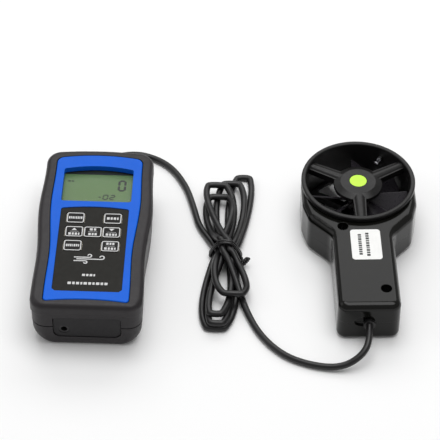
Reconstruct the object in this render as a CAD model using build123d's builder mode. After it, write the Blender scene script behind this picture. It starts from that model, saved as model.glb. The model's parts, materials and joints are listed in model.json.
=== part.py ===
from build123d import *
from math import cos, radians, sin, tan
import os

# Vane anemometer: a handset with a display and seven keys, a vane probe, and
# the cord between them. Millimetres, +Z up, everything lies on Z = 0. The
# origin is under the middle of the handset and probe together, the handset's
# length runs along Y with its display end at +Y, and the probe stands to the
# right with its handle turned a little.

os.makedirs("parts", exist_ok=True)

# ---- driving dimensions: handset ----
HANDSET_X = -75.6
HANDSET_Y = -9.4
HANDSET_HALF_LENGTH = 63.3
HANDSET_CROWN = 64.0          # middle of the arched display end
BEZEL_TOP = 33.2
CASE_PARTING = 15.0
CEILING = 28.0                # underside of the front wall
PLATE_SEAT = 30.2             # floor of the faceplate pocket
PLATE_TOP = 33.5
EDGE_ROUND = 3.3
WALL = 2.4
SIDE_CURVE = [(31.0, -50), (30.4, -19), (31.9, 4), (32.4, 17), (31.0, 50)]
PLATE_SIDE = [(23.5, -50), (23.0, -19), (24.7, 4), (25.4, 17), (24.7, 48)]
GAP_HEIGHT = 0.9
PARTING_GAP = 0.6
CORE_SCALE = (0.955, 0.960)    # floor of the shadow gaps round the body
BODY_SCALE = (0.985, 0.978)   # body inside the overhanging bezel
REAR_SECTIONS = [(0, 0.78, 0.935), (2.5, 0.875, 0.957), (6, 0.945, 0.968), (10.5, 0.975, 0.975),
                 (CASE_PARTING, *BODY_SCALE)]

# ---- display and keypad ----
DISPLAY_Y = 34.2
DISPLAY_SIZE = (43.0, 30.0)
DISPLAY_TOP = 29.4
KEYPAD_FLOOR = 31.4
KEY_SIZE = (10.1, 8.3)
KEY_CORNER = 1.3
KEY_UNDERSIDE = 32.6
KEY_TOP = 33.3
KEY_PITCH_X = 10.5
KEY_PITCH_Y = 11.1
KEY_MIDDLE_Y = -5.1
KEY_GAP = 0.35
RIBBON_Y = 13.0
OVERLAY_BOTTOM = 32.6
OVERLAY_TOP = 33.1
KEYS = {
    "key_function": (-1, 1),
    "key_unit": (1, 1),
    "key_up": (-1, 0),
    "key_power": (0, 0),
    "key_down": (1, 0),
    "key_hold": (-1, -1),
    "key_menu": (1, -1),
}

# ---- inside the handset ----
BOARD_BOTTOM = 22.0
BOARD_TOP = 23.6
POSTS = [(-19.5, -44), (19.5, -44), (-19.5, 52.5), (19.5, 52.5)]
BOARD_BOSSES = [(-20, 10), (20, 10), (-20, -35), (20, -35)]
BATTERY_SIZE = (26.5, 48.5, 17.5)
BATTERY_Y = -25.8
DOOR_SIZE = (30.2, 52.2)
DOOR_Y = -27.0
PANEL_CENTRE = (0.4, 14.8)
PANEL_SIZE = (37.6, 15.4)
PANEL_DEPTH = 2.3             # the panel's face, in from the bezel's end
JACK_X = -12.3
JACK_Z = 12.6

# ---- driving dimensions: probe ----
PROBE_X = 74.2
PROBE_Y = 39.7
PROBE_TURN = 3.37             # handle's turn from the handset's long axis
RING_R = 33.0
DUCT_R = 30.2
DUCT_WALL_R = 31.6
RIM_TOP = 29.2
RIM_BOTTOM = 26.6
PROBE_TOP = 26.0
PROBE_PARTING = 13.0
HANDLE_HALF = 17.5
HANDLE_END = -99.0
PROBE_WALL = 2.2
PROBE_EDGE_ROUND = 4.0
PROBE_SCREWS = [(-11.1, -35.6), (9.8, -85.2)]
SPOKE_ANGLES = [30, 150, 270]
SPOKE_Z = 24.2
HUB_TOP = 28.0
STICKER_SEAT = 27.6
BLADES = 8
BLADE_TIP_R = 29.0
BLADE_PITCH = 42
ROTOR_LOW = 7.0
ROTOR_HIGH = 18.0
SHAFT_R = 0.80
BEARING_BORE_R = 0.85
BEARING_R = 2.4
THERMISTOR_ANGLE = 60
THERMISTOR_Z = 21.5

# ---- cord ----
CORD_R = 1.9
HANDSET_ROUTE = [(-75.6, 64.6, 13), (-75.5, 74.5, 10.5), (-67, 84, 5), (-52, 87.5, 2.1),
                 (-37.5, 77, 2.0), (-26.5, 59, 2.0), (-21, 40, 2.0), (-17.4, 24.5, 2.0), (-10.4, 12.6, 2.6)]
PROBE_ROUTE = [(0.2, -9, 10.4), (4.0, -19.5, 8.6), (7.6, -29.5, 4.6), (12.0, -43, 2.0), (20.0, -61, 2.0),
               (33.5, -76, 2.0), (50, -82.5, 2.0), (65, -84, 3.0), (75.6, -79.5, 7.4), (80.4, -71.5, 11.2),
               (80.14, -60.9, 13)]
HANK_HEIGHT = 10.6
TIE_CENTRE = (-1.2, 7.2)
TIE_SIZE = (19.0, 14.2)

handset = Plane(origin=(HANDSET_X, HANDSET_Y, 0))
turn = radians(PROBE_TURN)
probe = Plane(origin=(PROBE_X, PROBE_Y, 0), x_dir=(cos(turn), sin(turn), 0), z_dir=(0, 0, 1))


def write(block, name):
    """Label a finished part and write its STEP file."""
    block.part.label = name
    export_step(block.part, f"parts/{name}.step")
    print(name, round(block.part.volume, 1), "mm3")


def handset_end(depth):
    """Upright plane on the handset's jack end, local y up and z outward."""
    origin = (HANDSET_X, HANDSET_Y - HANDSET_HALF_LENGTH + depth, 0)
    return Plane(origin=origin, x_dir=(1, 0, 0), z_dir=(0, -1, 0))


def handset_crown(depth):
    """Upright plane on the handset's display end, local y up and z outward."""
    origin = (HANDSET_X, HANDSET_Y + HANDSET_HALF_LENGTH - depth, 0)
    return Plane(origin=origin, x_dir=(-1, 0, 0), z_dir=(0, 1, 0))


def across_probe(angle, radius, height=0):
    """Upright plane facing outward at an angle round the duct, local y up."""
    heading = radians(PROBE_TURN + angle)
    outward = Vector(cos(heading), sin(heading), 0)
    origin = Vector(PROBE_X, PROBE_Y, height) + outward * radius
    return Plane(origin=origin, x_dir=(-sin(heading), cos(heading), 0), z_dir=outward)


def panel_shape(wider=0.0, lower=0.0):
    """The end panel's outline, with small corners above and large ones below."""
    with Locations(PANEL_CENTRE):
        Rectangle(PANEL_SIZE[0] + wider, PANEL_SIZE[1] - lower)
    fillet(vertices().group_by(Axis.Y)[0], radius=4.2)
    fillet(vertices().group_by(Axis.Y)[-1], radius=1.8)


# ================= handset outlines =================

with BuildSketch() as case_outline:
    with BuildLine():
        side = Spline(*SIDE_CURVE, tangents=((0, 1), (0, 1)))
        Line(side @ 0, (side.position_at(0).X, -HANDSET_HALF_LENGTH))
        Line((side.position_at(0).X, -HANDSET_HALF_LENGTH), (0, -HANDSET_HALF_LENGTH))
        Line(side @ 1, (side.position_at(1).X, 61.6))
        ThreePointArc((side.position_at(1).X, 61.6), (15.5, 63.4), (0, HANDSET_CROWN))
        mirror(about=Plane.YZ)
    make_face()
    fillet(case_outline.vertices().filter_by(lambda v: v.Y < -63 and abs(v.X) > 20), radius=8.2)
    fillet(case_outline.vertices().filter_by(lambda v: v.Y > 61 and abs(v.X) > 20), radius=9.0)

with BuildSketch() as plate_outline:
    with BuildLine():
        plate_edge = Spline(*PLATE_SIDE, tangents=((0, 1), (0, 1)))
        Line(plate_edge @ 0, (23.5, -59.5))
        ThreePointArc((23.5, -59.5), (12, -58.0), (0, -57.5))
        Line(plate_edge @ 1, (24.7, 55.6))
        ThreePointArc((24.7, 55.6), (12.5, 57.7), (0, 58.4))
        mirror(about=Plane.YZ)
    make_face()
    fillet(plate_outline.vertices().filter_by(lambda v: v.Y < -59), radius=2.0)
    fillet(plate_outline.vertices().filter_by(lambda v: v.Y > 55.5 and abs(v.X) > 20), radius=4.5)

with BuildSketch() as overlay_outline:
    with BuildLine():
        Polyline((0, -51.8), (17.6, -51.8), (19.3, -50.1), (19.3, 13.6))
        ThreePointArc((19.3, 13.6), (9.8, 14.8), (0, 15.2))
        mirror(about=Plane.YZ)
    make_face()
    fillet(overlay_outline.vertices().filter_by(lambda v: v.Y > 13 and abs(v.X) > 10), radius=1.5)

with BuildSketch() as display_opening:
    with BuildLine():
        Polyline((0, 19.5), (20.0, 19.5), (20.0, 46.3))
        ThreePointArc((20.0, 46.3), (10.2, 48.3), (0, 49.0))
        mirror(about=Plane.YZ)
    make_face()
    fillet(display_opening.vertices().filter_by(lambda v: abs(v.X) > 10), radius=1.5)

with BuildSketch() as key_places:
    with Locations(*[(KEY_PITCH_X * column, KEY_MIDDLE_Y + KEY_PITCH_Y * row) for column, row in KEYS.values()]):
        RectangleRounded(KEY_SIZE[0] + 2 * KEY_GAP, KEY_SIZE[1] + 2 * KEY_GAP, KEY_CORNER + KEY_GAP)

# ================= handset case =================

def bezel_underside(drop):
    """The bezel's arched lower edge, seen from the jack end, lowered by drop."""
    return ThreePointArc((-34, 24.0 - drop), (0, 27.4 - drop), (34, 24.0 - drop))


# the front case's upright wall: a core, and an outer skin that leaves shadow
# gaps under the bezel and at the parting line
with BuildPart() as case_wall:
    with BuildSketch(handset.offset(CASE_PARTING + PARTING_GAP)):
        add(case_outline.sketch)
        scale(by=(*BODY_SCALE, 1))
    extrude(amount=CEILING - CASE_PARTING - PARTING_GAP)
    with BuildSketch(handset_end(-20)):
        with BuildLine():
            lower = bezel_underside(GAP_HEIGHT)
            Polyline(lower @ 1, (34, 40), (-34, 40), lower @ 0)
        make_face()
    extrude(amount=-160, mode=Mode.SUBTRACT)
    with BuildSketch(handset.offset(CASE_PARTING)):
        add(case_outline.sketch)
        scale(by=(*CORE_SCALE, 1))
    extrude(amount=CEILING - CASE_PARTING)

with BuildPart() as front_case:
    with BuildSketch(handset.offset(21)):
        add(case_outline.sketch)
    extrude(amount=BEZEL_TOP - 21)
    fillet(front_case.faces().sort_by(Axis.Z)[-1].edges(), radius=EDGE_ROUND)
    # the bezel's lower edge is arched across the case
    with BuildSketch(handset_end(-20)):
        with BuildLine():
            under = bezel_underside(0)
            Polyline(under @ 1, (34, 20), (-34, 20), under @ 0)
        make_face()
    extrude(amount=-160, mode=Mode.SUBTRACT)
    add(case_wall.part)
    with BuildSketch(handset.offset(CASE_PARTING)):
        add(case_outline.sketch)
        scale(by=(0.89, 0.935, 1))
    extrude(amount=CEILING - CASE_PARTING, mode=Mode.SUBTRACT)
    with BuildSketch(handset.offset(BEZEL_TOP)):
        add(plate_outline.sketch)
        scale(by=(1.015, 1.006, 1))
    extrude(amount=PLATE_SEAT - BEZEL_TOP, mode=Mode.SUBTRACT)
    # window opening and the slot for the keypad's ribbon
    with BuildSketch(handset.offset(PLATE_SEAT)):
        with Locations((0, DISPLAY_Y)):
            Rectangle(DISPLAY_SIZE[0] + 0.4, DISPLAY_SIZE[1] + 0.4)
        with Locations((0, RIBBON_Y)):
            Rectangle(11, 1.2)
    extrude(amount=CEILING - PLATE_SEAT, mode=Mode.SUBTRACT)
    # screw posts and board bosses hang from the front wall
    with BuildSketch(handset.offset(CASE_PARTING)):
        with Locations(*POSTS):
            Circle(3.0)
            Circle(1.25, mode=Mode.SUBTRACT)
    extrude(amount=CEILING - CASE_PARTING + 0.2)
    with BuildSketch(handset.offset(BOARD_TOP)):
        with Locations(*BOARD_BOSSES):
            Circle(2.6)
            Circle(1.0, mode=Mode.SUBTRACT)
    extrude(amount=CEILING - BOARD_TOP + 0.2)
    # seat for the upper half of the end panel
    with BuildSketch(handset_end(7)):
        panel_shape()
    extrude(amount=10, mode=Mode.SUBTRACT)
    # upper half of the cord gland's hole
    with BuildSketch(handset_crown(6)):
        with Locations((0, 13.0)):
            Circle(3.6)
    extrude(amount=10, mode=Mode.SUBTRACT)
write(front_case, "front_case")

with BuildPart() as rear_case:
    for height, across, along in REAR_SECTIONS:
        with BuildSketch(handset.offset(height)):
            add(case_outline.sketch)
            scale(by=(across, along, 1))
    loft()
    # the hollow follows the rounded underside in two steps
    with BuildSketch(handset.offset(2.4)):
        RectangleRounded(43, 112, 5)
    extrude(amount=CASE_PARTING - 2.4, mode=Mode.SUBTRACT)
    with BuildSketch(handset.offset(8.0)):
        add(case_outline.sketch)
        scale(by=(0.85, 0.945, 1))
    extrude(amount=CASE_PARTING - 8.0, mode=Mode.SUBTRACT)
    # screw posts with deep head wells from below
    with BuildSketch(handset.offset(2.0)):
        with Locations(*POSTS):
            Circle(4.0)
    extrude(amount=CASE_PARTING - 2.0)
    with BuildSketch(handset):
        with Locations(*POSTS):
            Circle(2.9)
    extrude(amount=7.0, mode=Mode.SUBTRACT)
    with BuildSketch(handset):
        with Locations(*POSTS):
            Circle(1.6)
    extrude(amount=CASE_PARTING, mode=Mode.SUBTRACT)
    # battery bay walls
    with BuildSketch(handset.offset(2.0)):
        with Locations((-14.55, BATTERY_Y), (14.55, BATTERY_Y)):
            Rectangle(1.2, 46)
    extrude(amount=12.6)
    # door opening, with a step that the door's rim closes against
    with BuildSketch(handset):
        with Locations((0, DOOR_Y)):
            RectangleRounded(DOOR_SIZE[0] + 0.8, DOOR_SIZE[1] + 0.8, 2.4)
    extrude(amount=1.9, mode=Mode.SUBTRACT)
    with BuildSketch(handset):
        with Locations((0, DOOR_Y)):
            Rectangle(27.8, 49.6)
    extrude(amount=2.6, mode=Mode.SUBTRACT)
    # seat for the lower half of the end panel
    with BuildSketch(handset_end(7)):
        panel_shape()
    extrude(amount=10, mode=Mode.SUBTRACT)
    with BuildSketch(handset_crown(6)):
        with Locations((0, 13.0)):
            Circle(3.6)
    extrude(amount=10, mode=Mode.SUBTRACT)
write(rear_case, "rear_case")

with BuildPart() as faceplate:
    with BuildSketch(handset.offset(PLATE_SEAT)):
        add(plate_outline.sketch)
    extrude(amount=PLATE_TOP - PLATE_SEAT)
    fillet(faceplate.faces().sort_by(Axis.Z)[-1].edges(), radius=0.7)
    with BuildSketch(handset.offset(PLATE_TOP)):
        add(display_opening.sketch)
    extrude(amount=PLATE_SEAT - PLATE_TOP, mode=Mode.SUBTRACT)
    with BuildSketch(handset.offset(PLATE_TOP)):
        add(overlay_outline.sketch)
    extrude(amount=KEYPAD_FLOOR - PLATE_TOP, mode=Mode.SUBTRACT)
    with BuildSketch(handset.offset(KEYPAD_FLOOR)):
        with Locations((0, RIBBON_Y)):
            Rectangle(11, 1.2)
    extrude(amount=PLATE_SEAT - KEYPAD_FLOOR, mode=Mode.SUBTRACT)
write(faceplate, "faceplate")

# ================= display =================

with BuildPart() as display_window:
    with BuildSketch(handset.offset(DISPLAY_TOP)):
        with Locations((0, DISPLAY_Y)):
            Rectangle(*DISPLAY_SIZE)
    extrude(amount=PLATE_SEAT - DISPLAY_TOP)
write(display_window, "display_window")

with BuildPart() as display_panel:
    with BuildSketch(handset.offset(DISPLAY_TOP)):
        with Locations((0, DISPLAY_Y)):
            Rectangle(DISPLAY_SIZE[0], DISPLAY_SIZE[1])
    extrude(amount=-2.8)
write(display_panel, "display_panel")

with BuildPart() as display_contacts:
    with BuildSketch(handset.offset(BOARD_TOP)):
        with Locations((0, DISPLAY_Y - 12.2), (0, DISPLAY_Y + 12.2)):
            Rectangle(40, 2.4)
    extrude(amount=DISPLAY_TOP - 2.8 - BOARD_TOP)
write(display_contacts, "display_contacts")

# ================= keypad =================

with BuildPart() as keypad_overlay:
    with BuildSketch(handset.offset(OVERLAY_BOTTOM)):
        add(overlay_outline.sketch)
        offset(amount=-0.1)
        add(key_places.sketch, mode=Mode.SUBTRACT)
    extrude(amount=OVERLAY_TOP - OVERLAY_BOTTOM)
write(keypad_overlay, "keypad_overlay")

with BuildPart() as keypad_spacer:
    with BuildSketch(handset.offset(KEYPAD_FLOOR + 0.5)):
        add(overlay_outline.sketch)
        offset(amount=-0.1)
        add(key_places.sketch, mode=Mode.SUBTRACT)
    extrude(amount=OVERLAY_BOTTOM - KEYPAD_FLOOR - 0.5)
write(keypad_spacer, "keypad_spacer")

with BuildPart() as keypad_circuit:
    with BuildSketch(handset.offset(KEYPAD_FLOOR)):
        add(overlay_outline.sketch)
        offset(amount=-0.1)
    extrude(amount=0.5)
    with BuildSketch(handset.offset(BOARD_TOP)):
        with Locations((0, RIBBON_Y)):
            Rectangle(10, 0.5)
    extrude(amount=KEYPAD_FLOOR + 0.2 - BOARD_TOP)
write(keypad_circuit, "keypad_circuit")

with BuildPart() as key_domes:
    with BuildSketch(handset.offset(KEYPAD_FLOOR + 0.5)):
        with Locations(*[(KEY_PITCH_X * column, KEY_MIDDLE_Y + KEY_PITCH_Y * row) for column, row in KEYS.values()]):
            Circle(3.2)
    extrude(amount=0.3)
write(key_domes, "key_domes")

for key_name, (column, row) in KEYS.items():
    with BuildPart() as key_cap:
        with BuildSketch(handset.offset(KEY_UNDERSIDE)):
            with Locations((KEY_PITCH_X * column, KEY_MIDDLE_Y + KEY_PITCH_Y * row)):
                RectangleRounded(KEY_SIZE[0], KEY_SIZE[1], KEY_CORNER)
        extrude(amount=KEY_TOP - KEY_UNDERSIDE)
        fillet(key_cap.faces().sort_by(Axis.Z)[-1].edges(), radius=0.2)
    write(key_cap, key_name)

# ================= inside the handset =================

with BuildPart() as main_board:
    with BuildSketch(handset.offset(BOARD_BOTTOM)):
        RectangleRounded(50, 114, 2)
        with Locations(*POSTS):
            Circle(3.5, mode=Mode.SUBTRACT)
        with Locations(*BOARD_BOSSES):
            Circle(1.0, mode=Mode.SUBTRACT)
    extrude(amount=BOARD_TOP - BOARD_BOTTOM)
write(main_board, "main_board")

with BuildPart() as board_chips:
    with BuildSketch(handset.offset(BOARD_TOP)):
        with Locations((0, -12)):
            Rectangle(12, 12)
        with Locations((12, -30)):
            Rectangle(6, 5)
        with Locations((-11, -31)):
            Rectangle(5, 8)
    extrude(amount=1.8)
    with BuildSketch(handset.offset(BOARD_BOTTOM)):
        with Locations((0, 20)):
            Circle(5.5)
    extrude(amount=-6.0)
write(board_chips, "board_chips")

with BuildPart() as board_screws:
    with BuildSketch(handset.offset(BOARD_BOTTOM)):
        with Locations(*BOARD_BOSSES):
            Circle(1.9)
    extrude(amount=-1.3)
    with BuildSketch(handset.offset(BOARD_BOTTOM)):
        with Locations(*BOARD_BOSSES):
            Circle(1.0)
    extrude(amount=5.0)
write(board_screws, "board_screws")

with BuildPart() as battery:
    with BuildSketch(handset.offset(2.5)):
        with Locations((0, BATTERY_Y)):
            RectangleRounded(BATTERY_SIZE[0], BATTERY_SIZE[1] - 3.0, 2.2)
    extrude(amount=BATTERY_SIZE[2])
    with BuildSketch(Plane(origin=(HANDSET_X, HANDSET_Y + BATTERY_Y + 22.7, 2.5), x_dir=(1, 0, 0), z_dir=(0, 1, 0))):
        with Locations((-6.3, -8.7), (6.3, -8.7)):
            Circle(3.0)
    extrude(amount=3.0)
write(battery, "battery")

with BuildPart() as battery_snap:
    with BuildSketch(Plane(origin=(HANDSET_X, HANDSET_Y + BATTERY_Y + 25.8, 2.5), x_dir=(1, 0, 0), z_dir=(0, 1, 0))):
        with Locations((0, -8.7)):
            RectangleRounded(24, 12, 2)
    extrude(amount=3.5)
write(battery_snap, "battery_snap")

with BuildPart() as battery_door:
    with BuildSketch(handset):
        with Locations((0, DOOR_Y)):
            RectangleRounded(DOOR_SIZE[0], DOOR_SIZE[1], 2.0)
    extrude(amount=1.6)
    # finger ridges on the outside
    with BuildSketch(handset):
        with Locations((0, DOOR_Y - 16)):
            with GridLocations(0, 2.6, 1, 5):
                SlotOverall(16, 1.2)
    extrude(amount=0.5, mode=Mode.SUBTRACT)
write(battery_door, "battery_door")

with BuildPart() as case_screws:
    with BuildSketch(handset.offset(4.6)):
        with Locations(*POSTS):
            Circle(2.7)
            RegularPolygon(0.9, 4, mode=Mode.SUBTRACT)
    extrude(amount=2.4)
    with BuildSketch(handset.offset(6.4)):
        with Locations(*POSTS):
            Circle(1.25)
    extrude(amount=17.0)
write(case_screws, "case_screws")

with BuildPart() as end_panel:
    with BuildSketch(handset_end(PANEL_DEPTH)):
        panel_shape(-0.5, 0.5)
        with Locations((JACK_X, JACK_Z)):
            Circle(2.9, mode=Mode.SUBTRACT)
    extrude(amount=-2.0)
    with BuildSketch(handset_end(PANEL_DEPTH + 1.9)):
        panel_shape(4.0, 1.9)
        with Locations((JACK_X, JACK_Z)):
            Circle(2.9, mode=Mode.SUBTRACT)
    extrude(amount=-1.2)
write(end_panel, "end_panel")

with BuildPart() as power_jack:
    with BuildSketch(handset_end(PANEL_DEPTH + 3.1)):
        with Locations((JACK_X, JACK_Z)):
            Rectangle(9, 9)
    extrude(amount=-8.5)
    with BuildSketch(handset_end(PANEL_DEPTH + 0.3)):
        with Locations((JACK_X, JACK_Z)):
            Circle(2.9)
    extrude(amount=-3.0)
    with BuildSketch(handset_end(PANEL_DEPTH + 0.3)):
        with Locations((JACK_X, JACK_Z)):
            Circle(1.75)
    extrude(amount=-9.0, mode=Mode.SUBTRACT)
write(power_jack, "power_jack")

with BuildPart() as cord_gland:
    with BuildSketch(handset_crown(4.6)):
        with Locations((0, 13.0)):
            Circle(5.0)
    extrude(amount=0.9)
    with BuildSketch(handset_crown(4.0)):
        with Locations((0, 13.0)):
            Circle(3.5)
    extrude(amount=4.4)
    with BuildSketch(handset_crown(-0.4)):
        with Locations((0, 13.0)):
            Circle(4.2)
    with BuildSketch(handset_crown(-11.0)):
        with Locations((0, 13.0)):
            Circle(2.7)
    loft()
write(cord_gland, "cord_gland")

# ================= probe shells =================

with BuildSketch() as probe_outline:
    with BuildLine():
        Polyline((0, 0), (33, 0), (33, -15.5), (29.9, -27.5), (17.5, -41), (17.5, -99), (0, -99))
        mirror(about=Plane.YZ)
    make_face()
    fillet(probe_outline.vertices().filter_by(lambda v: -20 < v.Y < -10), radius=14)
    fillet(probe_outline.vertices().filter_by(lambda v: -30 < v.Y < -25), radius=9)
    fillet(probe_outline.vertices().filter_by(lambda v: -45 < v.Y < -38), radius=9)
    fillet(probe_outline.vertices().filter_by(lambda v: v.Y < -98 and abs(v.X) > 5), radius=5.2)
    Circle(RING_R)

with BuildSketch() as handle_hollow:
    with Locations((0, (HANDLE_END - 42) / 2 + 1.0)):
        RectangleRounded(2 * (HANDLE_HALF - PROBE_WALL), -HANDLE_END - 42 - 2, 2.5)
    with Locations((0, -40)):
        Rectangle(22, 12)

# a shallow scoop round and beside the cord's hole, shared by both shells
with BuildSketch(across_probe(270, -HANDLE_END + 0.5)) as cord_scoop:
    with Locations((-3.2, PROBE_PARTING + 1.0)):
        Ellipse(5.2, 3.6)

with BuildPart() as probe_top:
    with BuildSketch(probe.offset(PROBE_PARTING)):
        add(probe_outline.sketch)
    extrude(amount=PROBE_TOP - PROBE_PARTING)
    fillet(probe_top.faces().sort_by(Axis.Z)[-1].edges(), radius=PROBE_EDGE_ROUND)
    with BuildSketch(probe.offset(PROBE_PARTING)):
        add(handle_hollow.sketch)
    extrude(amount=PROBE_TOP - 2.4 - PROBE_PARTING, mode=Mode.SUBTRACT)
    with BuildSketch(probe.offset(PROBE_PARTING)):
        Circle(DUCT_WALL_R)
    extrude(amount=PROBE_TOP, mode=Mode.SUBTRACT)
    # deep wells for the two case screws
    with BuildSketch(probe.offset(PROBE_PARTING)):
        with Locations(*PROBE_SCREWS):
            Circle(4.5)
    extrude(amount=PROBE_TOP - 2.0 - PROBE_PARTING)
    with BuildSketch(probe.offset(PROBE_PARTING)):
        Circle(DUCT_WALL_R)
    extrude(amount=PROBE_TOP, mode=Mode.SUBTRACT)
    with BuildSketch(probe.offset(16.0)):
        with Locations(*PROBE_SCREWS):
            Circle(3.1)
    extrude(amount=12, mode=Mode.SUBTRACT)
    with BuildSketch(probe.offset(PROBE_PARTING)):
        with Locations(*PROBE_SCREWS):
            Circle(1.6)
    extrude(amount=6, mode=Mode.SUBTRACT)
    # half of the cord grommet's hole and of the pickup's hole
    with BuildSketch(across_probe(270, 92)):
        with Locations((0, PROBE_PARTING)):
            Circle(2.7)
    extrude(amount=10, mode=Mode.SUBTRACT)
    with BuildSketch(across_probe(270, 28)):
        with Locations((0, PROBE_PARTING)):
            Circle(2.6)
    extrude(amount=12, mode=Mode.SUBTRACT)
    extrude(cord_scoop.sketch, amount=-1.6, mode=Mode.SUBTRACT)
write(probe_top, "probe_top")

with BuildPart() as probe_bottom:
    with BuildSketch(probe):
        add(probe_outline.sketch)
    extrude(amount=PROBE_PARTING)
    fillet(probe_bottom.faces().sort_by(Axis.Z)[0].edges(), radius=3.2)
    with BuildSketch(probe.offset(2.4)):
        add(handle_hollow.sketch)
    extrude(amount=PROBE_PARTING, mode=Mode.SUBTRACT)
    with BuildSketch(probe.offset(2.0)):
        with Locations(*PROBE_SCREWS):
            Circle(3.4)
    extrude(amount=PROBE_PARTING - 2.0)
    with BuildSketch(probe):
        Circle(DUCT_WALL_R)
    extrude(amount=PROBE_PARTING, mode=Mode.SUBTRACT)
    with BuildSketch(probe.offset(3.0)):
        with Locations(*PROBE_SCREWS):
            Circle(1.25)
    extrude(amount=PROBE_PARTING, mode=Mode.SUBTRACT)
    with BuildSketch(across_probe(270, 92)):
        with Locations((0, PROBE_PARTING)):
            Circle(2.7)
    extrude(amount=10, mode=Mode.SUBTRACT)
    with BuildSketch(across_probe(270, 28)):
        with Locations((0, PROBE_PARTING)):
            Circle(2.6)
    extrude(amount=12, mode=Mode.SUBTRACT)
    extrude(cord_scoop.sketch, amount=-1.6, mode=Mode.SUBTRACT)
write(probe_bottom, "probe_bottom")

with BuildPart() as probe_screws:
    with BuildSketch(probe.offset(16.0)):
        with Locations(*PROBE_SCREWS):
            Circle(2.7)
    extrude(amount=2.0)
    with BuildSketch(probe.offset(16.9)):
        with Locations(*PROBE_SCREWS):
            Rectangle(3.4, 0.7, mode=Mode.ADD)
            Rectangle(0.7, 3.4, mode=Mode.ADD)
    extrude(amount=2.0, mode=Mode.SUBTRACT)
    with BuildSketch(probe.offset(4.0)):
        with Locations(*PROBE_SCREWS):
            Circle(1.25)
    extrude(amount=12.0)
write(probe_screws, "probe_screws")

# ================= duct and guards =================

with BuildPart() as duct_ring:
    with BuildSketch(probe.offset(0.6)):
        Circle(DUCT_WALL_R)
        Circle(DUCT_R, mode=Mode.SUBTRACT)
    extrude(amount=RIM_BOTTOM - 0.6)
    with BuildSketch(probe.offset(RIM_BOTTOM)):
        Circle(RING_R)
        Circle(DUCT_R, mode=Mode.SUBTRACT)
    extrude(amount=RIM_TOP - RIM_BOTTOM)
    fillet(duct_ring.faces().sort_by(Axis.Z)[-1].edges(), radius=0.9)
    # hub with a sloping skirt and a raised middle
    with BuildSketch(Plane(origin=probe.origin, x_dir=probe.x_dir, z_dir=-probe.y_dir)):
        with BuildLine():
            Polyline((0, 20.5), (4.4, 20.5), (4.4, 22.4), (12.8, 22.4), (14.0, 23.6), (14.0, 25.8), (10.2, 27.6),
                     (5.1, HUB_TOP), (5.1, STICKER_SEAT), (0, STICKER_SEAT), (0, 20.5))
        make_face()
    revolve(axis=Axis(probe.origin, (0, 0, 1)))
    for angle in SPOKE_ANGLES:
        with BuildSketch(across_probe(angle, 7.0)):
            with Locations((0, SPOKE_Z)):
                Rectangle(8.0, 4.2)
                Ellipse(4.0, 3.4)
        with BuildSketch(across_probe(angle, DUCT_R + 0.6)):
            with Locations((0, SPOKE_Z)):
                Rectangle(6.2, 3.8)
                Ellipse(3.1, 3.0)
        loft()
    with BuildSketch(probe.offset(STICKER_SEAT)):
        Circle(5.1)
    extrude(amount=4, mode=Mode.SUBTRACT)
    with BuildSketch(probe.offset(14)):
        Circle(BEARING_R)
    extrude(amount=9.0, mode=Mode.SUBTRACT)
    # the pickup looks through the wall at the handle side
    with BuildSketch(across_probe(270, 28)):
        with Locations((0, PROBE_PARTING)):
            Circle(2.6)
    extrude(amount=6, mode=Mode.SUBTRACT)
write(duct_ring, "duct_ring")

with BuildPart() as rear_guard:
    with BuildSketch(probe.offset(1.2)):
        Circle(DUCT_R)
        Circle(DUCT_R - 1.4, mode=Mode.SUBTRACT)
    extrude(amount=2.0)
    with BuildSketch(probe.offset(1.2)):
        Circle(9.0)
        for angle in SPOKE_ANGLES:
            with Locations(Location((0, 0, 0), (0, 0, angle))):
                with Locations((18.6, 0)):
                    Rectangle(21.6, 4.0)
    extrude(amount=4.3)
    with BuildSketch(probe.offset(3.0)):
        Circle(BEARING_R)
    extrude(amount=4, mode=Mode.SUBTRACT)
write(rear_guard, "rear_guard")

with BuildPart() as bearings:
    with BuildSketch(probe.offset(3.0)):
        Circle(BEARING_R)
        Circle(BEARING_BORE_R, mode=Mode.SUBTRACT)
    extrude(amount=2.5)
    with BuildSketch(probe.offset(20.5)):
        Circle(BEARING_R)
        Circle(BEARING_BORE_R, mode=Mode.SUBTRACT)
    extrude(amount=2.5)
write(bearings, "bearings")

with BuildPart() as hub_sticker:
    with BuildSketch(probe.offset(STICKER_SEAT)):
        Circle(4.9)
    extrude(amount=0.3)
write(hub_sticker, "hub_sticker")

# ================= rotor =================

with BuildPart() as impeller:
    with BuildSketch(probe.offset(ROTOR_LOW)):
        Circle(5.2)
    extrude(amount=ROTOR_HIGH - ROTOR_LOW)
    chamfer(impeller.faces().sort_by(Axis.Z)[-1].edges(), length=1.2)
    for blade in range(BLADES):
        with BuildSketch(across_probe(360 / BLADES * blade + 37, 4.4)):
            with Locations(Location((0, (ROTOR_LOW + ROTOR_HIGH) / 2, 0), (0, 0, BLADE_PITCH + 8))):
                Rectangle(8.0, 0.9)
        with BuildSketch(across_probe(360 / BLADES * blade + 37, BLADE_TIP_R)):
            with Locations(Location((0, (ROTOR_LOW + ROTOR_HIGH) / 2, 0), (0, 0, BLADE_PITCH))):
                Rectangle(15.0, 0.8)
        loft()
    with BuildSketch(probe):
        Circle(BLADE_TIP_R + 0.1)
    extrude(amount=RIM_TOP, mode=Mode.INTERSECT)
    with BuildSketch(probe):
        Circle(SHAFT_R)
    extrude(amount=RIM_TOP, mode=Mode.SUBTRACT)
write(impeller, "impeller")

with BuildPart() as rotor_shaft:
    with BuildSketch(probe.offset(3.4)):
        Circle(SHAFT_R)
    extrude(amount=19.2)
    chamfer(rotor_shaft.edges().filter_by(GeomType.CIRCLE), length=0.3)
write(rotor_shaft, "rotor_shaft")

# ================= sensing parts =================

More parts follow.
